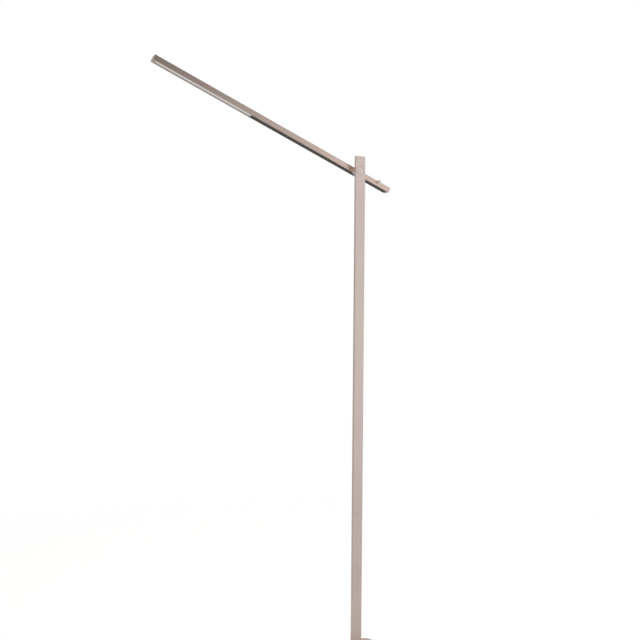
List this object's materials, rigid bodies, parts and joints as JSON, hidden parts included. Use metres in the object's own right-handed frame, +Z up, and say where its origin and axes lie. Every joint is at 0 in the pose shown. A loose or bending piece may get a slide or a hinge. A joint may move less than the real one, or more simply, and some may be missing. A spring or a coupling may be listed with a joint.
{
  "type": "floor lamp",
  "caption": "Slim office floor lamp: flat rectangular post on a weighted base, with a straight LED arm that tilts on a round hub behind the post's top.",
  "frame": {"origin": "on the floor under the middle of the post, on the underside of the base's rubber pad", "axes": "+Z up, +X from the arm's lit tip towards its tail, -Y is the front, where the post's flush hub disc faces"},
  "size_m": [0.7664, 0.2416, 1.7801],
  "materials": {
    "post_finish": "satin champagne anodised",
    "arm_finish": "satin champagne anodised",
    "hub_finish": "satin champagne anodised, turned",
    "base_paint": "fine champagne powder coat over steel",
    "plain_steel": "zinc plated",
    "black_screw": "blackened steel",
    "pad_rubber": "matt",
    "black_plastic": "matt moulded",
    "black_strip": "satin extruded",
    "opal": "opal satin sheet",
    "cable_jacket": "matt jacket",
    "board_white": "white solder mask",
    "board_green": "green solder mask",
    "led_package": "phosphor window"
  },
  "bodies": {
    "stand": {"base_plate": "base_paint", "base_pad": "pad_rubber", "foot_block": "plain_steel", "foot_screws": "plain_steel", "post": "post_finish", "post_screws": "black_screw", "post_cap": "post_finish", "cable_gland": "black_plastic", "gland_clip": "plain_steel", "post_cable": "cable_jacket", "hub_sleeve": "hub_finish", "ring_nut": "plain_steel", "pivot_cap": "post_finish", "friction_washer": "black_plastic"},
    "arm": {"hub_boss": "hub_finish", "pivot_axle": "plain_steel", "axle_nut": "plain_steel", "spring_washer": "plain_steel", "stop_pin": "plain_steel", "boss_screws": "black_screw", "arm_profile": "arm_finish", "tip_cap": "arm_finish", "tail_cap": "arm_finish", "cover_strip": "black_strip", "diffuser": "opal", "led_board": "board_white", "led_chips": "led_package", "led_screws": "plain_steel", "driver_board": "board_green", "driver_spacers": "black_plastic", "driver_screws": "plain_steel", "driver_parts": "black_plastic", "arm_cable": "cable_jacket", "led_lead": "cable_jacket", "dimmer_lead": "cable_jacket", "dimmer_body": "black_plastic"},
    "lever": {"dimmer_lever": "arm_finish"}
  },
  "joints": [
    {"name": "arm_tilt", "type": "hinge", "parent": "stand", "child": "arm", "pos_m": [0, 0.014, 1.5075], "axis": [0, 1, 0], "range_deg": [-97.5, 37.5]},
    {"name": "dimmer_lever", "type": "hinge", "parent": "arm", "child": "lever", "pos_m": [0.0721, 0.0234, 1.48034], "axis": [0, -1, 0], "range_deg": [0, 96]}
  ]
}
